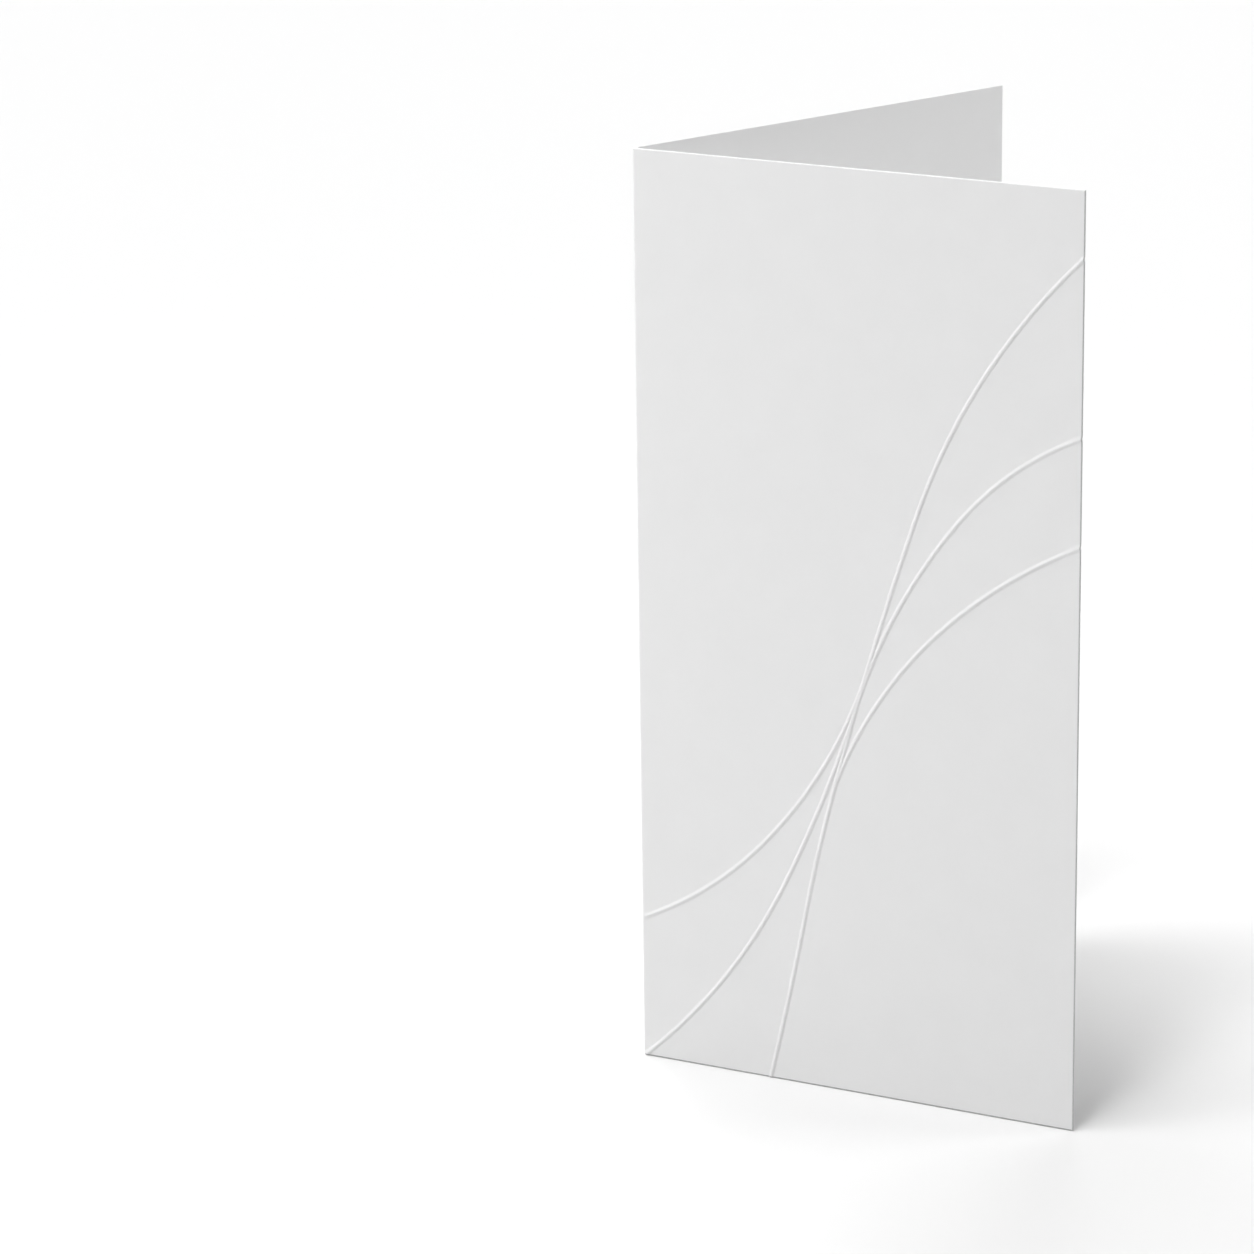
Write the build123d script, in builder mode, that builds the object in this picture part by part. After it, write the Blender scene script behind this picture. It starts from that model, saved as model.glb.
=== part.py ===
# A folded leaflet, standing half open on its lower edge.
# It is one square sheet of heavy card, creased down the middle into a front and a back panel.
# Three fine lines are blind embossed on the front panel, and a short one joins two of them at the
# waist, where all draw together. They are pressed through the card, so each is a rounded ridge on
# the outer face and a narrower groove on the inner face.
# The frame: +Z runs up the fold, the fold points to -X, and the panels open towards +X with the
# front panel on the -Y side. The origin is on the standing surface, mid-footprint.
import os
from math import cos, radians, sin

from build123d import *

# Driving dimensions of the card, in millimetres and degrees
flat_width = 210.0  # the sheet laid flat, across the fold
sheet_height = 210.0  # along the fold
card_thickness = 0.45
opening_angle = 64.0  # between the two panels
fold_radius = 0.25  # on the inside of the fold
crease_bead_radius = 0.45  # the card that the creasing rule pushes up inside the fold

# Driving dimensions of the embossed lines
ridge_width = 1.25  # at the outer face
ridge_height = 0.22
groove_width = 0.9  # at the inner face
groove_depth = 0.22
groove_fold_gap = 1.0  # from the fold to the end of a groove
joining_share = 0.85  # the joining line's width and height, as a share of the other lines'
line_overrun = 2.0  # how far a line is drawn past the panel's edge, before it is trimmed

# The fold, worked out along the middle of the card's thickness
panel_width = flat_width / 2
half_opening = opening_angle / 2
outer_fold_radius = fold_radius + card_thickness
bend_length = radians(180 - opening_angle) * (fold_radius + card_thickness / 2)
bend_share = bend_length / 2  # how much of a panel's width is taken by the bend
flat_panel = panel_width - bend_share
along_x, along_y = cos(radians(half_opening)), sin(radians(half_opening))
footprint_length = outer_fold_radius + flat_panel * along_x - fold_radius * along_y

# Each embossed line is a chain of tangent arcs. It leans to the right of upright at its waist, and
# its arcs pass through the points above and below. Points are (distance from the fold, height).
# Its share scales its width and its height. The joining line ends inside two of the others.
past_free_edge = panel_width + line_overrun
past_fold = -line_overrun
past_foot = -line_overrun
embossed_lines = [
    {
        "share": 1,
        "waist": (45.7, 63.5),
        "lean": 13.6,
        "above": [(56.2, 88.9), (past_free_edge, 133.8)],
        "below": [(40.4, 39.5), (31.4, past_foot)],
    },
    {
        "share": joining_share,
        "waist": (46.5, 66.5),
        "lean": 15.0,
        "above": [(52.9, 89.6)],
        "below": [],
    },
    {
        "share": 1,
        "waist": (57.3, 104.5),
        "lean": 15.3,
        "above": [(71.5, 146.3), (past_free_edge, 197.1)],
        "below": [(33.2, 58.8), (past_fold, 32.4)],
    },
    {
        "share": 1,
        "waist": (52.7, 89.7),
        "lean": 17.6,
        "above": [(76.5, 134.6), (past_free_edge, 157.8)],
        "below": [(35.2, 46.0), (past_fold, -1.8)],
    },
]

# Planes of the front panel: x runs from the fold to the free edge, y up, z out of the face
fold_centre = Vector(outer_fold_radius - footprint_length / 2, 0, 0)
along_front = Vector(along_x, -along_y, 0)
out_of_front = Vector(-along_y, -along_x, 0)
front_bend = fold_centre + out_of_front * outer_fold_radius
outer_face = Plane(front_bend - along_front * bend_share, x_dir=along_front, z_dir=out_of_front)
inner_face = outer_face.offset(-card_thickness)


def arc_radius(width, height):
    """Radius of a circle whose cap has this width and height."""
    return (width**2 / 4 + height**2) / (2 * height)


def line_arcs(line, plane):
    """The arcs of one embossed line, drawn on a plane from its waist upwards and downwards."""
    lean = radians(line["lean"])
    arcs = []
    for points, direction in ((line["above"], 1), (line["below"], -1)):
        start = plane.from_local_coords(line["waist"])
        tangent = plane.x_dir * (direction * sin(lean)) + plane.y_dir * (direction * cos(lean))
        for point in points:
            with BuildLine() as branch:
                TangentArc(start, plane.from_local_coords(point), tangent=tangent)
            arc = branch.edges()[0]
            start, tangent = arc @ 1, arc % 1
            arcs.append(arc)
    return arcs


def pressed_line(line, face, width, height, start):
    """The rounded cap of one embossed line on a face of the front panel.

    It is a rod sunk below the face until its cap has the line's share of the given width and
    height, kept from a start near the fold to the free edge, and from the foot to the top.
    """
    width, height = width * line["share"], height * line["share"]
    radius = arc_radius(width, height)
    with BuildPart() as cap:
        for arc in line_arcs(line, face.offset(height - radius)):
            with BuildSketch(Plane(origin=arc @ 0, z_dir=arc % 0)):
                Circle(radius)
            sweep(path=arc)
        with BuildSketch(face):
            with Locations((start, 0)):
                Rectangle(panel_width - start, sheet_height, align=(Align.MIN, Align.MIN))
        extrude(amount=2 * height, mode=Mode.INTERSECT)
    return cap.part


# The card is drawn in plan from the front panel's outer face, mirrored for the back panel
with BuildPart() as leaflet:
    with BuildSketch():
        with BuildLine():
            front = Line(front_bend + along_front * flat_panel, front_bend)
            TangentArc(front @ 1, fold_centre - Vector(outer_fold_radius, 0), tangent=front % 1)
            mirror(about=Plane.XZ)
            offset(amount=card_thickness, side=Side.RIGHT)
        make_face()
        with Locations(fold_centre):
            Circle(crease_bead_radius)
    extrude(amount=sheet_height)
    for line in embossed_lines:
        add(pressed_line(line, outer_face, ridge_width, ridge_height, bend_share))
    for line in embossed_lines:
        groove = pressed_line(line, inner_face, groove_width, groove_depth, groove_fold_gap)
        add(groove, mode=Mode.SUBTRACT)

leaflet.part.label = "leaflet"
os.makedirs("parts", exist_ok=True)
export_step(leaflet.part, "parts/leaflet.step")
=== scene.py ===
"""A plain white leaflet, creased down the middle and standing half open on its lower edge.

The card is one surface: a sheet laid out flat in millimetres (across the fold, and up from the
foot), given its embossed lines and its thickness there, and then folded into the place of its
solid. Its cut edge is a profile that is carried all round it. A pale floor, soft lamps and the
camera complete the scene.
"""

from __future__ import annotations

import cmath
import logging
import math
from dataclasses import dataclass
from enum import Enum, IntEnum

import bpy
import numpy as np
from mathutils import Matrix, Vector


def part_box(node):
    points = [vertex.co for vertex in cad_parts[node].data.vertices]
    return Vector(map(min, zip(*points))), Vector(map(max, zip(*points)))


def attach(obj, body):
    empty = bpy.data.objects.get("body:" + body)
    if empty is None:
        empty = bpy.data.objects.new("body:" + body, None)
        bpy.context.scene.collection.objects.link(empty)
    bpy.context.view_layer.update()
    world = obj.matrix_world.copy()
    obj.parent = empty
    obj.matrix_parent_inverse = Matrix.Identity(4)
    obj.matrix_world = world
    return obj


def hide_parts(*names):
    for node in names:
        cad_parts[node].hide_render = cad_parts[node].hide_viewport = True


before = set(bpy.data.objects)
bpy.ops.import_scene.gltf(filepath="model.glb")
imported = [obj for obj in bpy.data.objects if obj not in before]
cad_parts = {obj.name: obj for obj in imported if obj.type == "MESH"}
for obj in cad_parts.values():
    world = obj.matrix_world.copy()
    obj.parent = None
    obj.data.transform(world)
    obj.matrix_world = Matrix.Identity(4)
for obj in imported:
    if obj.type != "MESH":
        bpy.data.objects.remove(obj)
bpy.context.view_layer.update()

MM = 0.001
IMAGE_PIXELS = 1254
SENSOR_MM = 36.0
NOISE_RANGE = (0.3, 0.7)
SHEET_ATTRIBUTE = "flat_sheet"

log = logging.getLogger("leaflet")


class Relief(Enum):
    """The two sides of an embossed line."""

    RIDGE = "stands out of the outer face"
    GROOVE = "is sunk into the inner face"


class Slot(IntEnum):
    """The card's material slots."""

    FACE = 0
    # The cut edge's bands, whose darker colour is partly their own tone and partly painted shade.
    CUT = 1
    # The top's bands, painted lighter as a highlight.
    TOP = 2


@dataclass(frozen=True)
class Arc:
    """A circular arc on the flat panel, whose points are complex: across the panel, and up it."""

    centre: complex
    spoke: complex
    turn: float

    @classmethod
    def leaving(cls, start: complex, heading: complex, end: complex) -> Arc:
        """The arc that leaves one point along a heading and ends at another.

        Seen from the heading, the chord makes half the angle that the arc turns through, and the
        radius is the chord over twice the sine of that half angle.

        Args:
            start: the arc's first point.
            heading: a number of length 1 that points along the arc at its start.
            end: the arc's last point.

        Returns:
            The arc.
        """
        chord = (end - start) / heading
        half = cmath.phase(chord)
        centre = start + 1j * heading * abs(chord) / (2 * math.sin(half))
        return cls(centre, start - centre, 2 * half)

    def heading_at_end(self, heading: complex) -> complex:
        """The heading that the arc ends with, given the one that it starts with."""
        return heading * cmath.exp(1j * self.turn)

    def points(self, share: np.ndarray) -> np.ndarray:
        """Points at these shares of the way along the arc: the spoke, turned about the centre."""
        return self.centre + self.spoke * np.exp(1j * self.turn * share)

    def distance(self, places: np.ndarray) -> np.ndarray:
        """How far places are from the arc.

        A place's angle about the centre, as a share of the arc's turn, says whether the place is
        beside the arc or past an end. Beside it the distance is the one to its circle, and past it
        the one to the nearer end.

        Args:
            places: complex places on the flat panel.

        Returns:
            The distance of each place.
        """
        seen = (places - self.centre) / self.spoke
        share = np.angle(seen * np.exp(-0.5j * self.turn)) / self.turn + 0.5
        to_circle = np.abs(np.abs(seen) - 1) * abs(self.spoke)
        first, last = self.points(np.array([0.0, 1.0]))
        to_ends = np.minimum(np.abs(places - first), np.abs(places - last))
        return np.where((share >= 0) & (share <= 1), to_circle, to_ends)


@dataclass(frozen=True)
class EmbossedLine:
    """A chain of tangent arcs from its waist upwards and downwards, in millimetres and degrees.

    It leans to the right of upright at its waist, and its arcs pass through the points above and
    below. A line that joins another one ends on it at its waist.
    """

    waist: complex
    lean: float
    above: tuple[complex, ...] = ()
    below: tuple[complex, ...] = ()
    joins: EmbossedLine | None = None

    def branch(self, points: tuple[complex, ...], heading: complex) -> list[Arc]:
        """The arcs from the waist through these points, each tangent to the one before.

        Args:
            points: the points, from the one nearest to the waist.
            heading: a number of length 1 that points along the branch at the waist.

        Returns:
            The arcs, in the same order.
        """
        arcs = []
        start = self.waist
        for point in points:
            arc = Arc.leaving(start, heading, point)
            arcs.append(arc)
            start, heading = point, arc.heading_at_end(heading)
        return arcs

    def arcs(self) -> tuple[list[Arc], list[Arc]]:
        """The arcs below the waist and the arcs above it, both starting at the waist."""
        up = cmath.exp(1j * math.radians(90 - self.lean))
        return self.branch(self.below, -up), self.branch(self.above, up)

    def distance(self, places: np.ndarray) -> np.ndarray:
        """Distance from each place to the nearest of the line's arcs."""
        below, above = self.arcs()
        return np.minimum.reduce([arc.distance(places) for arc in below + above])

    def course(self, samples: int = 400) -> np.ndarray:
        """Points along the whole line, from its lowest to its highest.

        Args:
            samples: how many points each arc is read at.

        Returns:
            The points, with each arc's end taken once.
        """
        share = np.linspace(0, 1, samples)
        below, above = self.arcs()
        down = [arc.points(share)[:0:-1] for arc in reversed(below)]
        up = [arc.points(share)[1:] for arc in above]
        return np.concatenate([*down, [self.waist], *up])

    def across_at(self, height: np.ndarray) -> tuple[np.ndarray, np.ndarray]:
        """Where the line is at each height, and how it leans there.

        Past its ends it runs straight on, and past a joint it is the line that it joins. The lean
        is how far it goes across for each millimetre that it rises.

        Args:
            height: heights above the foot, in millimetres.

        Returns:
            The distance from the fold and the lean, for each height.
        """
        course = self.course()
        slope = np.gradient(course.real, course.imag)
        lean = np.interp(height, course.imag, slope)
        across = np.interp(height, course.imag, course.real)
        past = height - np.clip(height, course.imag[0], course.imag[-1])
        across = across + past * lean
        if self.joins is None:
            return across, lean
        joined = (height > self.waist.imag) if self.below else (height < self.waist.imag)
        trunk, trunk_lean = self.joins.across_at(height)
        return np.where(joined, trunk, across), np.where(joined, trunk_lean, lean)


# The lines' outermost points lie past the panel, so that each line runs off its border
TRUNK = EmbossedLine(
    waist=45.4 + 62.0j,
    lean=14.2,
    above=(67.3 + 135.6j, 107.0 + 197.4j),
    below=(41.1 + 42.7j, 31.4 - 2.0j),
)
CROSSING = EmbossedLine(
    waist=53.1 + 90.7j,
    lean=17.7,
    above=(77.0 + 135.2j, 107.0 + 157.7j),
    below=(35.8 + 47.3j, -2.0 - 1.8j),
)
TO_THE_FOLD = EmbossedLine(
    waist=54.7 + 96.0j,
    lean=19.7,
    below=(28.7 + 53.9j, -2.0 + 32.5j),
    joins=TRUNK,
)
TO_THE_FREE_EDGE = EmbossedLine(
    waist=48.0 + 72.0j,
    lean=20.9,
    above=(74.5 + 111.8j, 107.0 + 133.9j),
    joins=TRUNK,
)


def smooth(share: np.ndarray) -> np.ndarray:
    """A smooth step from 0 to 1: three times the square less twice the cube."""
    return share * share * (3 - 2 * share)


def spread(weight: np.ndarray, along: np.ndarray, count: int) -> np.ndarray:
    """Divides each row of a length so that every step holds the same share of a weight.

    The weight is added up along the row, and the places where that sum reaches equal shares are
    read off it. All rows are read at once, each lifted above the one before it.

    Args:
        weight: the weight at each place, one row for each division that is wanted.
        along: the places, rising, that the weights are given at.
        count: how many places each row is divided into, both ends included.

    Returns:
        The places, one row for each row of weights.
    """
    steps = (weight[:, 1:] + weight[:, :-1]) / 2 * np.diff(along)
    total = np.concatenate([np.zeros((len(weight), 1)), np.cumsum(steps, axis=1)], axis=1)
    total /= total[:, -1:]
    lift = 2.0 * np.arange(len(weight))[:, None]
    wanted = np.linspace(0, 1, count)[None, :] + lift
    places = np.broadcast_to(along, total.shape)
    return np.interp(wanted.ravel(), (total + lift).ravel(), places.ravel()).reshape(wanted.shape)


@dataclass(frozen=True)
class Embossing:
    """The die that presses the lines through the card, in millimetres."""

    ridge_width: float = 1.25
    ridge_height: float = 0.27
    groove_width: float = 0.95
    groove_depth: float = 0.24
    flank_share: float = 0.42
    fold_fade: float = 0.9
    lines: tuple[EmbossedLine, ...] = (TRUNK, CROSSING, TO_THE_FOLD, TO_THE_FREE_EDGE)

    def height(self, places: np.ndarray, relief: Relief) -> np.ndarray:
        """How far the card is pressed out at each place of the front panel.

        The height depends on the distance from the nearest line: it is full on a flat crown, falls
        by a smooth step over the flank, and is nothing past half the width. It fades in beside the
        fold by another smooth step.

        Args:
            places: complex places on the flat panel.
            relief: the side of the card that is asked for.

        Returns:
            The height in millimetres, for each place.
        """
        ridge = relief is Relief.RIDGE
        width = self.ridge_width if ridge else self.groove_width
        height = self.ridge_height if ridge else self.groove_depth
        away = np.minimum.reduce([line.distance(places) for line in self.lines])
        flank = self.flank_share * width
        fall = np.clip((away - (width / 2 - flank)) / flank, 0, 1)
        fade = np.clip(places.real / self.fold_fade, 0, 1)
        return height * (1 - smooth(fall)) * smooth(fade)


@dataclass(frozen=True)
class Fold:
    """How the flat card is folded, in millimetres and degrees."""

    thickness: float = 0.45
    opening: float = 64.0
    inner_radius: float = 0.25
    bead_radius: float = 0.45
    panel_width: float = 105.0

    @property
    def outer_radius(self) -> float:
        """Radius of the outer face round the fold."""
        return self.inner_radius + self.thickness

    @property
    def turn(self) -> float:
        """The angle that each panel turns back from the fold, in radians."""
        return math.radians(90 - self.opening / 2)

    @property
    def bend(self) -> float:
        """How much of a panel's width the bend takes, along the middle of the thickness."""
        return self.turn * (self.inner_radius + self.thickness / 2)

    @property
    def bead_reach(self) -> float:
        """How far from the fold the bead meets the inner face, along the flat card."""
        return self.bend + math.sqrt(self.bead_radius**2 - self.inner_radius**2)

    @property
    def bead_angle(self) -> float:
        """The angle from the opening's middle to where the bead meets a panel, in radians."""
        return math.radians(self.opening / 2) + math.asin(self.inner_radius / self.bead_radius)

    def centre(self) -> np.ndarray:
        """The fold's centre in plan: the outer radius in from the solid's lowest x."""
        low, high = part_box("leaflet")
        return np.array([low.x / MM + self.outer_radius, (low.y + high.y) / 2 / MM])

    def outer(self, across: np.ndarray, depth: np.ndarray) -> np.ndarray:
        """Plan of points at a distance across the flat card and a depth below its outer face.

        Within the bend a point is on a circle about the fold's centre, whose radius is the outer
        one less the depth. Past the bend it runs straight on along the panel.

        Args:
            across: distances from the fold, above 0 on the front panel and below 0 on the back.
            depth: depths below the outer face.

        Returns:
            x and y in a last axis, in millimetres.
        """
        bent = np.clip(across, -self.bend, self.bend)
        angle = bent / self.bend * self.turn
        normal = np.stack([-np.cos(angle), -np.sin(angle)], axis=-1)
        tangent = np.stack([np.sin(angle), -np.cos(angle)], axis=-1)
        reach = (self.outer_radius - depth)[..., None]
        return self.centre() + normal * reach + tangent * (across - bent)[..., None]

    def inner(self, across: np.ndarray, raised: np.ndarray) -> np.ndarray:
        """Plan of points on the inner face, which the creasing has pushed up into a bead.

        Past the bead a point lies on the panel, less what it is raised. On the bead it is on the
        bead's circle, and its angle is a share of the angle at which that circle meets the panels.

        Args:
            across: distances from the fold, as for the outer face.
            raised: how far each point is pressed towards the outer face.

        Returns:
            x and y in a last axis, in millimetres.
        """
        flat = self.outer(across, self.thickness - raised)
        angle = -np.clip(across / self.bead_reach, -1, 1) * self.bead_angle
        circle = self.centre() + self.bead_radius * np.stack([np.cos(angle), np.sin(angle)], -1)
        return np.where((np.abs(across) < self.bead_reach)[..., None], circle, flat)

    def panel_direction(self, across: np.ndarray) -> np.ndarray:
        """Which way the flat card's width runs in plan, on the panel that each point is on."""
        along = np.sign(across) * math.sin(self.turn)
        return np.stack([along, np.full_like(along, -math.cos(self.turn))], axis=-1)


class Shading:
    """A node material with one Principled shader, and the nodes that the finishes share."""

    def __init__(self, name: str) -> None:
        """Makes the material and finds its shader.

        Args:
            name: the material's name.
        """
        self.material = bpy.data.materials.new(name)
        self.material.use_nodes = True
        self.tree = self.material.node_tree
        self.shader = self.tree.nodes["Principled BSDF"]

    def node(self, kind: str) -> bpy.types.Node:
        """A new node of this kind."""
        return self.tree.nodes.new(kind)

    def link(self, source: bpy.types.NodeSocket, target: bpy.types.NodeSocket) -> None:
        """Links an output to an input."""
        self.tree.links.new(source, target)

    def surface(self, roughness: float, specular: float) -> None:
        """Sets how rough the surface is and how much it shines."""
        self.shader.inputs["Roughness"].default_value = roughness
        self.shader.inputs["Specular IOR Level"].default_value = specular

    def noise(
        self, place: bpy.types.NodeSocket, grain_mm: float, detail: float
    ) -> bpy.types.NodeSocket:
        """A noise texture's value.

        Args:
            place: the socket that gives the coordinates, in metres.
            grain_mm: the size of its largest grains.
            detail: how many finer layers it has.

        Returns:
            The value's socket.
        """
        made = self.node("ShaderNodeTexNoise")
        made.inputs["Scale"].default_value = 1 / (grain_mm * MM)
        made.inputs["Detail"].default_value = detail
        self.link(place, made.inputs["Vector"])
        return made.outputs["Fac"]

    def mapped(
        self,
        place: bpy.types.NodeSocket,
        scale: tuple[float, float, float],
        turn: tuple[float, float, float] = (0.0, 0.0, 0.0),
    ) -> bpy.types.NodeSocket:
        """Coordinates that are scaled and turned.

        Args:
            place: the socket that gives the coordinates.
            scale: the scale on each axis, which stretches a pattern where it is under 1.
            turn: the turn about each axis, in radians.

        Returns:
            The new coordinates' socket.
        """
        made = self.node("ShaderNodeMapping")
        made.inputs["Scale"].default_value = scale
        made.inputs["Rotation"].default_value = turn
        self.link(place, made.inputs["Vector"])
        return made.outputs["Vector"]

    def tint(
        self,
        colour: tuple[float, float, float],
        grain: bpy.types.NodeSocket,
        tones: tuple[float, float],
    ) -> None:
        """Gives the shader a colour whose brightness follows a grain.

        Args:
            colour: the colour at brightness 1.
            grain: the noise value that it follows.
            tones: the brightness where the noise is low and where it is high.
        """
        tone = self.node("ShaderNodeMapRange")
        for end, noise, brightness in zip(("Min", "Max"), NOISE_RANGE, tones):
            tone.inputs[f"From {end}"].default_value = noise
            tone.inputs[f"To {end}"].default_value = brightness
        self.link(grain, tone.inputs["Value"])
        scaled = self.node("ShaderNodeVectorMath")
        scaled.operation = "SCALE"
        scaled.inputs[0].default_value = colour
        self.link(tone.outputs["Result"], scaled.inputs["Scale"])
        self.link(scaled.outputs["Vector"], self.shader.inputs["Base Color"])

    def bump(
        self,
        height: bpy.types.NodeSocket,
        height_mm: float,
        before: bpy.types.NodeSocket | None = None,
    ) -> bpy.types.NodeSocket:
        """A bump, on top of another one where there is one.

        Args:
            height: the socket that gives the height, from 0 to 1.
            height_mm: what a height of 1 measures.
            before: the normal's socket that it adds to.

        Returns:
            The normal's socket.
        """
        made = self.node("ShaderNodeBump")
        made.inputs["Distance"].default_value = height_mm * MM
        self.link(height, made.inputs["Height"])
        if before is not None:
            self.link(before, made.inputs["Normal"])
        return made.outputs["Normal"]


@dataclass(frozen=True)
class CardFinish:
    """Smooth uncoated white card: a faint cloudiness, a fine tooth and short fibres."""

    colour: tuple[float, float, float] = (0.864, 0.864, 0.865)
    cloud_mm: float = 9.0
    cloud_detail: float = 3.0
    cloud_depth: float = 0.012
    tooth_mm: float = 0.35
    tooth_detail: float = 4.0
    tooth_height_mm: float = 0.012
    fibre_mm: float = 0.7333
    fibre_detail: float = 2.0
    fibre_height_mm: float = 0.006
    fibre_stretch: float = 0.16
    fibre_turn: float = 0.35
    roughness: float = 0.88
    specular: float = 0.25

    def material(self, name: str) -> bpy.types.Material:
        """The face's material, which reads Object coordinates in metres.

        Args:
            name: the material's name.

        Returns:
            The material.
        """
        card = Shading(name)
        place = card.node("ShaderNodeTexCoord").outputs["Object"]
        cloud = card.noise(place, self.cloud_mm, self.cloud_detail)
        card.tint(self.colour, cloud, (1 - self.cloud_depth, 1.0))
        tooth = card.noise(place, self.tooth_mm, self.tooth_detail)
        along = card.mapped(place, (1.0, 1.0, self.fibre_stretch), (self.fibre_turn, 0.0, 0.0))
        fibres = card.noise(along, self.fibre_mm, self.fibre_detail)
        normal = card.bump(tooth, self.tooth_height_mm)
        normal = card.bump(fibres, self.fibre_height_mm, normal)
        card.link(normal, card.shader.inputs["Normal"])
        card.surface(self.roughness, self.specular)
        return card.material


@dataclass(frozen=True)
class CutEdgeFinish:
    """The guillotined edge: the card's pressed layers show as fine lines along it."""

    # Darker than the face: partly the cut edge's own tone, partly painted shade on the free edges
    # and the foot, which face away from the lamps.
    colour: tuple[float, float, float] = (0.56, 0.56, 0.56)
    tones: tuple[float, float] = (0.9, 1.03)
    layer_mm: float = 0.07
    layer_detail: float = 2.0
    layer_height_mm: float = 0.02
    layer_stretch: float = 0.12
    roughness: float = 0.95
    specular: float = 0.2

    def material(self, name: str) -> bpy.types.Material:
        """The edge's material, which reads places on the sheet and depths from their attribute.

        Args:
            name: the material's name.

        Returns:
            The material.
        """
        edge = Shading(name)
        sheet = edge.node("ShaderNodeAttribute")
        sheet.attribute_name = SHEET_ATTRIBUTE
        stretch = (self.layer_stretch, self.layer_stretch, 1.0)
        place = edge.mapped(sheet.outputs["Vector"], stretch)
        layers = edge.noise(place, self.layer_mm, self.layer_detail)
        edge.tint(self.colour, layers, self.tones)
        edge.link(edge.bump(layers, self.layer_height_mm), edge.shader.inputs["Normal"])
        edge.surface(self.roughness, self.specular)
        return edge.material


@dataclass(frozen=True)
class CutEdge:
    """The profile of the cut edge, as rings that go round the card between its two faces.

    The guillotine rounds the outer face's border over, most of all at the foot, which touches the
    floor only beside its inner face. A ring's place is given in shares: how deep it lies in the
    card, how far out it lies on the rounding, and at the foot how far down.
    """

    rounding: float = 0.20
    foot_rounding: float = 0.40
    support: float = 0.04
    depth: tuple[float, ...] = (0.07, 0.2, 0.42, 0.93, 1.0)
    out: tuple[float, ...] = (0.5, 0.85, 1.0, 1.0, 0.85)
    down: tuple[float, ...] = (0.45, 0.72, 0.93, 1.0, 1.0)

    def steps(self, outwards: np.ndarray) -> np.ndarray:
        """How far each ring stands out from the border of a face.

        Args:
            outwards: which way is outwards at each border point, across the card and up it.

        Returns:
            The step across and up in millimetres, for each ring and each border point.
        """
        out = np.array(self.out)[:, None] * self.rounding
        down = np.array(self.down)[:, None] * self.foot_rounding
        up = np.where(outwards[:, 1] < 0, down, out) * outwards[:, 1]
        return np.stack([out * outwards[:, 0], up], axis=-1)

    def slots(self, outwards: np.ndarray) -> np.ndarray:
        """The material slot of each band between the rings, for each border point.

        The top has its own, painted lighter as a highlight, and the last band lies in the inner
        face.

        Args:
            outwards: which way is outwards at each border point, across the card and up it.

        Returns:
            The slots, one row for each band.
        """
        slots = np.full((len(self.out) + 1, len(outwards)), Slot.CUT, np.int32)
        slots[:, outwards[:, 1] > 0] = Slot.TOP
        slots[-1] = Slot.FACE
        return slots


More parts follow.
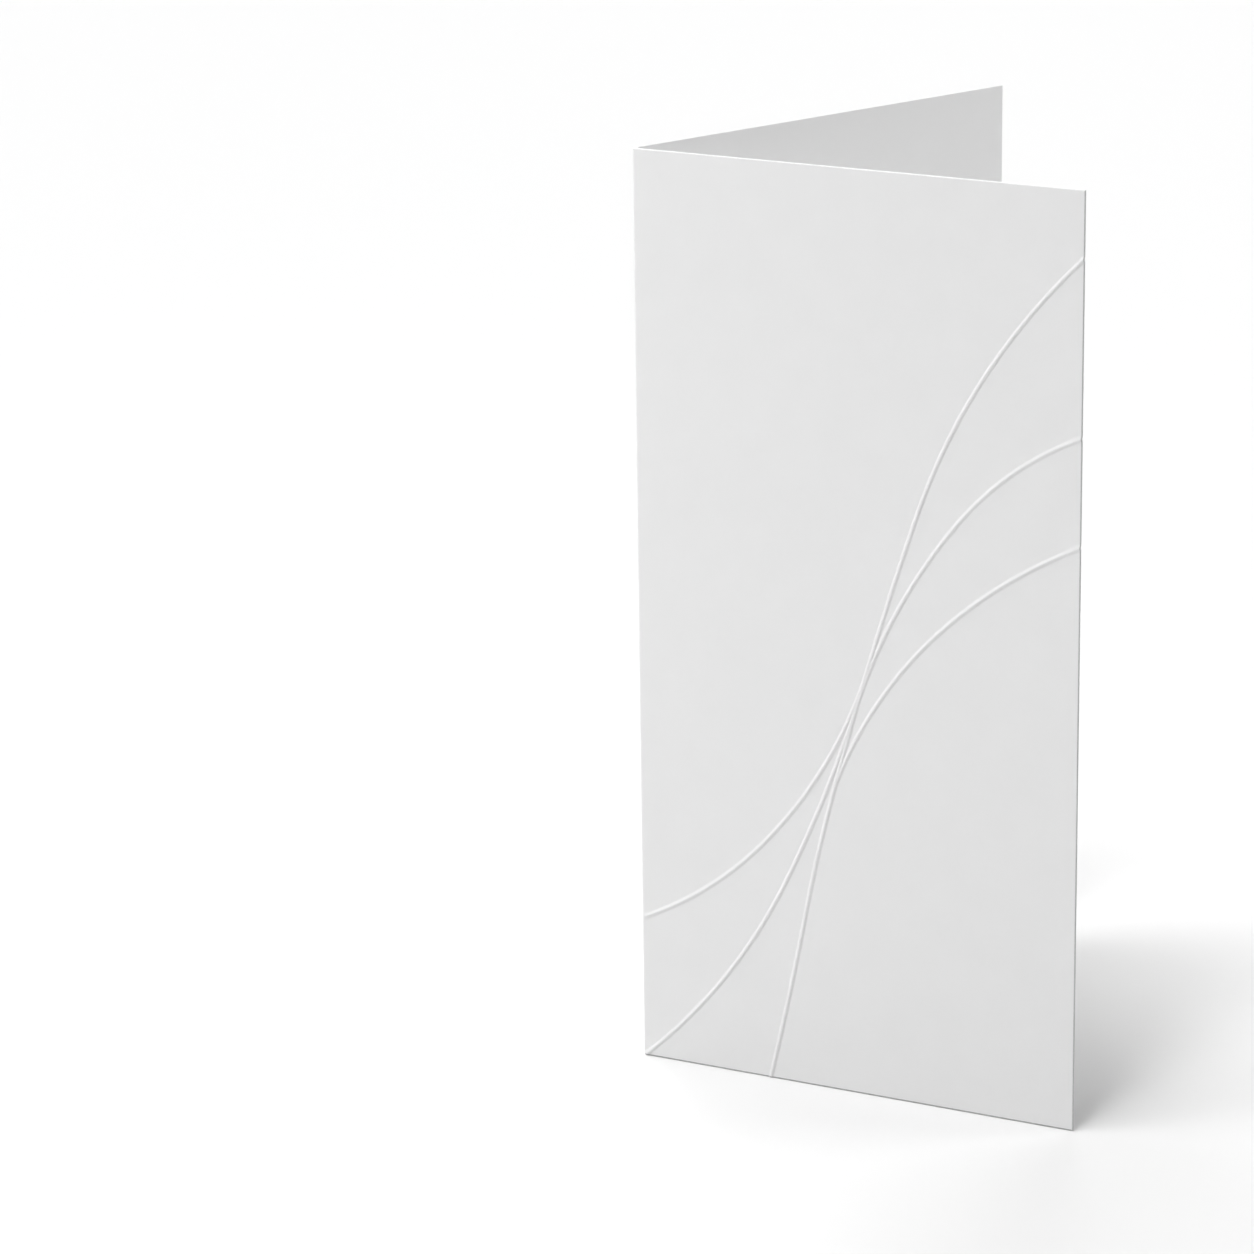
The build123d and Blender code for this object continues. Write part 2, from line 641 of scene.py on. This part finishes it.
@dataclass(frozen=True)
class LeafletCard:
    """The folded, embossed card, as one closed mesh. Sizes are in millimetres.

    The weights say how much closer the mesh's columns lie along a line and beside the fold, and
    its rows where a line leaves the panel, and the reaches say how far from there. They are added
    up over the samples. The columns beside the bead are given as shares of its reach.
    """

    fold: Fold = Fold()
    embossing: Embossing = Embossing()
    edge: CutEdge = CutEdge()
    face: CardFinish = CardFinish()
    # The cut edge is darker than the face, partly its own tone and partly painted shade.
    cut_edge_tone_and_shade: CutEdgeFinish = CutEdgeFinish()
    # The top edge is painted nearly white: a painted highlight where it faces up into the lamps.
    top_edge_painted_highlight: CutEdgeFinish = CutEdgeFinish(colour=(0.98, 0.98, 0.98))
    rows: int = 192
    front_columns: int = 190
    back_columns: int = 26
    bend_columns: int = 16
    bead_columns: tuple[float, ...] = (2.4, 1.6, 1.25, 1.05, 0.999)
    line_weight: float = 14.0
    line_reach: float = 1.6
    fold_weight: float = 4.0
    fold_reach: float = 0.6
    exit_weight: float = 3.5
    exit_reach: float = 2.4
    row_samples: int = 2101
    column_samples: int = 1400

    @property
    def height(self) -> float:
        """The card's height, which is its solid's."""
        low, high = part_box("leaflet")
        return (high.z - low.z) / MM

    @property
    def free_edge(self) -> float:
        """How far from the fold the faces end, where the cut edge's rounding starts."""
        return self.fold.panel_width - self.edge.rounding

    def row_heights(self) -> np.ndarray:
        """Heights of the mesh's rows, which are closer where a line meets the fold or an edge.

        A row's weight is 1, plus a hump round the height of every such place. Equal shares of that
        weight then lie between two rows.

        Returns:
            The heights above the foot.
        """
        low, high = self.edge.foot_rounding, self.height - self.edge.rounding
        support = self.edge.support
        along = np.linspace(low + support, high - support, self.row_samples)
        weight = np.ones_like(along)
        for line in self.embossing.lines:
            across, _ = line.across_at(along)
            for side in (0.0, self.fold.panel_width):
                crossing = along[np.abs(across - side).argmin()]
                weight += self.exit_weight / (1 + ((along - crossing) / self.exit_reach) ** 4)
        return np.concatenate([[low], spread(weight[None, :], along, self.rows - 2)[0], [high]])

    def front_places(self, heights: np.ndarray) -> np.ndarray:
        """Columns of the front panel's flat part, which crowd together along the lines.

        Each row's weight is 1, plus what dies away beside the fold, plus a hump round every line,
        as wide as the line is when it is cut level. Equal shares of that weight then lie between
        two columns.

        Args:
            heights: the heights of the rows.

        Returns:
            The columns' distances from the fold, one row for each height.
        """
        along = np.linspace(
            self.fold.bend, self.free_edge - self.edge.support, self.column_samples
        )
        weight = np.ones((len(heights), len(along)))
        weight += self.fold_weight * np.exp((along[0] - along) / self.fold_reach)
        for line in self.embossing.lines:
            across, lean = line.across_at(heights)
            slant = np.hypot(1, lean)[:, None]
            wide = self.embossing.ridge_width / 2 * self.line_reach * slant
            away = (along - across[:, None]) / wide
            weight += self.line_weight / (1 + away**4) / slant
        places = spread(weight, along, self.front_columns - 1)
        return np.concatenate([places, np.full((len(heights), 1), self.free_edge)], axis=1)

    def columns(self, heights: np.ndarray) -> np.ndarray:
        """The mesh's columns, from the back panel's free edge to the front panel's.

        Args:
            heights: the heights of the rows.

        Returns:
            The columns' distances across the flat card, one row for each height.
        """
        bend, reach = self.fold.bend, self.fold.bead_reach
        beside_bead = reach * np.array(self.bead_columns)
        back = np.linspace(self.free_edge - self.edge.support, beside_bead[0], self.back_columns)
        in_bend = np.linspace(-bend, bend, self.bend_columns + 1)[:-1]
        on_bead = [-(reach + bend) / 2]
        fixed = np.concatenate([[-self.free_edge], -back, -beside_bead[1:], on_bead, in_bend])
        fixed = np.broadcast_to(fixed, (len(heights), len(fixed)))
        return np.concatenate([fixed, self.front_places(heights)], axis=1)

    def surfaces(self) -> tuple[np.ndarray, np.ndarray, np.ndarray]:
        """The outer and the inner face as grids of points, rows upwards and columns across.

        Returns:
            The outer points and the inner ones in millimetres, and each point's place on the flat
            card.
        """
        heights = self.row_heights()
        across = self.columns(heights)
        up = np.broadcast_to(heights[:, None], across.shape)
        places = across + 1j * up
        ridge = self.embossing.height(places, Relief.RIDGE)
        groove = self.embossing.height(places, Relief.GROOVE)
        outer = np.concatenate([self.fold.outer(across, -ridge), up[..., None]], axis=-1)
        inner = np.concatenate([self.fold.inner(across, groove), up[..., None]], axis=-1)
        return outer, inner, np.stack([across, up], axis=-1)

    @staticmethod
    def border(rows: int, columns: int) -> tuple[np.ndarray, np.ndarray]:
        """The way round a grid, along its foot, up its front edge, back along its top and down.

        Args:
            rows: the grid's rows.
            columns: the grid's columns.

        Returns:
            The row and the column of each border point, and which way is outwards there: the first
            number is across the card, the second up it.
        """
        last = np.array([[rows - 1], [columns - 1]])
        foot = np.stack([np.zeros(columns - 1, int), np.arange(columns - 1)])
        front = np.stack([np.arange(rows - 1), np.full(rows - 1, columns - 1)])
        way = np.concatenate([foot, front, last - foot, last - front], axis=1)
        outwards = (way == last) * 1.0 - (way == 0)
        return way, outwards[::-1].T

    def mesh(self) -> bpy.types.Mesh:
        """The card's mesh: two faces, and the rings of the cut edge that join them all round.

        A ring's point lies between the outer face's border and the inner one's, by the share that
        the ring lies deep, and steps out from there along its panel and up or down.

        Returns:
            The mesh, in metres.
        """
        outer, inner, flat = self.surfaces()
        way, outwards = self.border(*flat.shape[:2])
        border = tuple(way)
        steps = self.edge.steps(outwards)
        share = np.array(self.edge.depth)[:, None, None]
        start = outer[border] * (1 - share) + inner[border] * share
        level = self.fold.panel_direction(flat[border][:, 0]) * steps[..., :1]
        rings = start + np.concatenate([level, steps[..., 1:]], axis=-1)
        points = np.concatenate([part.reshape(-1, 3) for part in (outer, inner, rings)])
        places = (flat, flat, flat[border] + steps)
        places = np.concatenate([part.reshape(-1, 2) for part in places])
        counts = [flat[..., 0].size] * 2 + [len(outwards)] * len(share)
        deep = np.repeat([0.0, 1.0, *self.edge.depth], counts) * self.fold.thickness
        sheet = np.concatenate([places, deep[:, None]], axis=1)
        return self.joined(points, sheet, flat.shape[:2], way, self.edge.slots(outwards))

    @staticmethod
    def joined(
        points: np.ndarray,
        sheet: np.ndarray,
        shape: tuple[int, int],
        way: np.ndarray,
        edge_slots: np.ndarray,
    ) -> bpy.types.Mesh:
        """Joins the two grids and the rings into one closed mesh of quads.

        Args:
            points: all points in millimetres: the outer grid, the inner grid, then each ring.
            sheet: each point's place on the flat card and its depth, in millimetres.
            shape: the rows and the columns of a grid.
            way: the row and the column of each border point.
            edge_slots: the material slot of each band between the rings, for each border point.

        Returns:
            The mesh, in metres.
        """
        index = np.arange(shape[0] * shape[1]).reshape(shape)
        corners = [index[:-1, :-1], index[:-1, 1:], index[1:, 1:], index[1:, :-1]]
        front = np.stack(corners, axis=-1).reshape(-1, 4)
        back = front[:, ::-1] + index.size
        border = index[tuple(way)][None]
        rings = np.arange(2 * index.size, len(points)).reshape(-1, border.size)
        loops = np.concatenate([border, rings, border + index.size])
        following = np.roll(loops, -1, axis=1)
        rim = np.stack([loops[:-1], loops[1:], following[1:], following[:-1]], axis=-1)
        quads = np.concatenate([front, back, rim.reshape(-1, 4)]).astype(np.int32)
        face_slots = np.full(len(front) + len(back), Slot.FACE, np.int32)
        slots = np.concatenate([face_slots, edge_slots.ravel()])
        made = bpy.data.meshes.new("leaflet_card")
        made.vertices.add(len(points))
        made.vertices.foreach_set("co", (points * MM).astype(np.float32).ravel())
        made.loops.add(quads.size)
        made.loops.foreach_set("vertex_index", quads.ravel())
        made.polygons.add(len(quads))
        made.polygons.foreach_set("loop_start", np.arange(0, quads.size, 4, dtype=np.int32))
        made.polygons.foreach_set("material_index", slots)
        made.update(calc_edges=True)
        made.shade_smooth()
        flat = made.attributes.new(SHEET_ATTRIBUTE, "FLOAT_VECTOR", "POINT")
        flat.data.foreach_set("vector", (sheet * MM).astype(np.float32).ravel())
        return made

    def build(self) -> bpy.types.Object:
        """Makes the card, dresses it, and puts it in the place of its solid.

        Returns:
            The card's object.
        """
        made = bpy.data.objects.new("leaflet_card", self.mesh())
        bpy.context.scene.collection.objects.link(made)
        finishes = {
            Slot.FACE: self.face.material("uncoated_card"),
            # The cut edge's colour is partly its own tone and partly painted shade.
            Slot.CUT: self.cut_edge_tone_and_shade.material("cut_edge_tone_and_shade"),
            # The top edge's material is a painted highlight.
            Slot.TOP: self.top_edge_painted_highlight.material("top_edge_painted_highlight"),
        }
        for slot in Slot:
            made.data.materials.append(finishes[slot])
        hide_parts("leaflet")
        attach(made, "root")
        return made


@dataclass(frozen=True)
class Lamp:
    """A soft lamp, which stands round and above the object at two angles in degrees.

    A far lamp has no distance. Its width is the angle that it fills, and its strength is in W/m2.
    A near one's distance and width are in metres, and its strength is in W.
    """

    name: str
    azimuth: float
    elevation: float
    width: float
    strength: float
    distance: float | None = None
    aim: tuple[float, float, float] = (0.0, 0.0, 0.1)

    def build(self) -> bpy.types.Object:
        """Makes the lamp. Azimuth 0 lights the object from -Y, and 90 from +X.

        Returns:
            The lamp's object.
        """
        around, above = math.radians(self.azimuth), math.radians(self.elevation)
        level = math.cos(above)
        away = Vector((math.sin(around) * level, -math.cos(around) * level, math.sin(above)))
        if self.distance is None:
            data = bpy.data.lights.new(self.name, "SUN")
            data.angle = math.radians(self.width)
        else:
            data = bpy.data.lights.new(self.name, "AREA")
            data.shape = "DISK"
            data.size = self.width
        data.energy = self.strength
        made = bpy.data.objects.new(self.name, data)
        bpy.context.scene.collection.objects.link(made)
        made.location = Vector(self.aim) + away * (self.distance or 0)
        made.rotation_mode = "QUATERNION"
        made.rotation_quaternion = away.to_track_quat("Z", "Y")
        return made


@dataclass(frozen=True)
class Studio:
    """The pale floor, the white surroundings and the lamps.

    The floor's lift is a faint glow that is seen and lights nothing. Its radius is in metres.
    """

    floor_radius: float = 12.0
    floor_sides: int = 96
    floor_colour: float = 0.80
    floor_lift: float = 0.02
    lamps: tuple[Lamp, ...] = (
        Lamp("key_lamp", azimuth=-36, elevation=62, width=12, strength=0.69),
        Lamp("left_lamp", azimuth=-66, elevation=68, width=34, strength=1.76),
        Lamp("back_lamp", azimuth=-150, elevation=45, width=30, strength=0.66),
        Lamp("rear_lamp", azimuth=180, elevation=45, width=30, strength=0.90),
        Lamp("right_lamp", azimuth=90, elevation=20, width=30, strength=1.36),
        Lamp("side_box", azimuth=-80, elevation=25, width=0.3, strength=0.58, distance=0.55),
    )

    @staticmethod
    def seen(tree: bpy.types.NodeTree, strength: float) -> bpy.types.NodeSocket:
        """A strength for rays from the camera, from gloss and through glass, and 0 for the rest.

        Args:
            tree: the node tree that it is worked out in.
            strength: the strength that those rays get.

        Returns:
            The strength's socket.
        """
        rays = tree.nodes.new("ShaderNodeLightPath")
        total = rays.outputs["Is Camera Ray"]
        for name in ("Is Glossy Ray", "Is Transmission Ray"):
            both = tree.nodes.new("ShaderNodeMath")
            both.operation = "MAXIMUM"
            tree.links.new(total, both.inputs[0])
            tree.links.new(rays.outputs[name], both.inputs[1])
            total = both.outputs["Value"]
        scaled = tree.nodes.new("ShaderNodeMath")
        scaled.operation = "MULTIPLY"
        scaled.inputs[1].default_value = strength
        tree.links.new(total, scaled.inputs[0])
        return scaled.outputs["Value"]

    def floor(self) -> bpy.types.Object:
        """A pale round floor, level with the foot, that looks white where no shadow falls.

        Returns:
            The floor's object.
        """
        around = np.linspace(0, 2 * math.pi, self.floor_sides, endpoint=False)
        circle = np.stack([np.cos(around), np.sin(around), np.zeros_like(around)], axis=1)
        points = circle * self.floor_radius
        data = bpy.data.meshes.new("floor")
        data.from_pydata(points.tolist(), [], [list(range(self.floor_sides))])
        made = bpy.data.objects.new("floor", data)
        bpy.context.scene.collection.objects.link(made)
        pale = Shading("pale_floor")
        pale.surface(roughness=1.0, specular=0.0)
        pale.shader.inputs["Base Color"].default_value = (*(self.floor_colour,) * 3, 1)
        pale.shader.inputs["Emission Color"].default_value = (1, 1, 1, 1)
        lift = self.seen(pale.tree, self.floor_lift)
        pale.link(lift, pale.shader.inputs["Emission Strength"])
        data.materials.append(pale.material)
        return made

    def world(self) -> bpy.types.World:
        """The surroundings, which are white where they are seen and light nothing.

        Returns:
            The world.
        """
        made = bpy.data.worlds.new("white_room")
        bpy.context.scene.world = made
        made.use_nodes = True
        background = made.node_tree.nodes["Background"]
        background.inputs["Color"].default_value = (1, 1, 1, 1)
        white = self.seen(made.node_tree, 1.0)
        made.node_tree.links.new(white, background.inputs["Strength"])
        return made

    def build(self) -> None:
        """Makes the floor, the surroundings and the lamps, and keeps white white."""
        self.floor()
        self.world()
        for lamp in self.lamps:
            lamp.build()
        bpy.context.scene.view_settings.view_transform = "Standard"


@dataclass(frozen=True)
class PhotoCamera:
    """The camera: its eye in millimetres, its angles in degrees, its focal length in pixels."""

    eye: tuple[float, float, float] = (-136.6, -1086.5, 440.4)
    yaw: float = 4.70
    pitch: float = 17.25
    roll: float = -0.79
    focal_pixels: float = 5148.0

    def build(self) -> bpy.types.Object:
        """Makes the camera. Yaw turns from +Y towards +X, pitch looks down, roll tips it over.

        Returns:
            The camera's object.
        """
        data = bpy.data.cameras.new("camera")
        data.sensor_width = SENSOR_MM
        data.lens = self.focal_pixels / IMAGE_PIXELS * SENSOR_MM
        made = bpy.data.objects.new("camera", data)
        bpy.context.scene.collection.objects.link(made)
        yaw, pitch, roll = (math.radians(angle) for angle in (self.yaw, self.pitch, self.roll))
        aim = Matrix.Rotation(-yaw, 4, "Z") @ Matrix.Rotation(math.pi / 2 - pitch, 4, "X")
        aim = aim @ Matrix.Rotation(roll, 4, "Z")
        made.matrix_world = Matrix.Translation(Vector(self.eye) * MM) @ aim
        bpy.context.scene.camera = made
        return made


def main() -> None:
    """Builds the camera, the leaflet and the studio, and reports the leaflet."""
    logging.basicConfig(level=logging.INFO, format="%(name)s: %(message)s")
    PhotoCamera().build()
    card = LeafletCard().build()
    log.info("%s has %d quads", card.name, len(card.data.polygons))
    Studio().build()


if __name__ == "__main__":
    main()
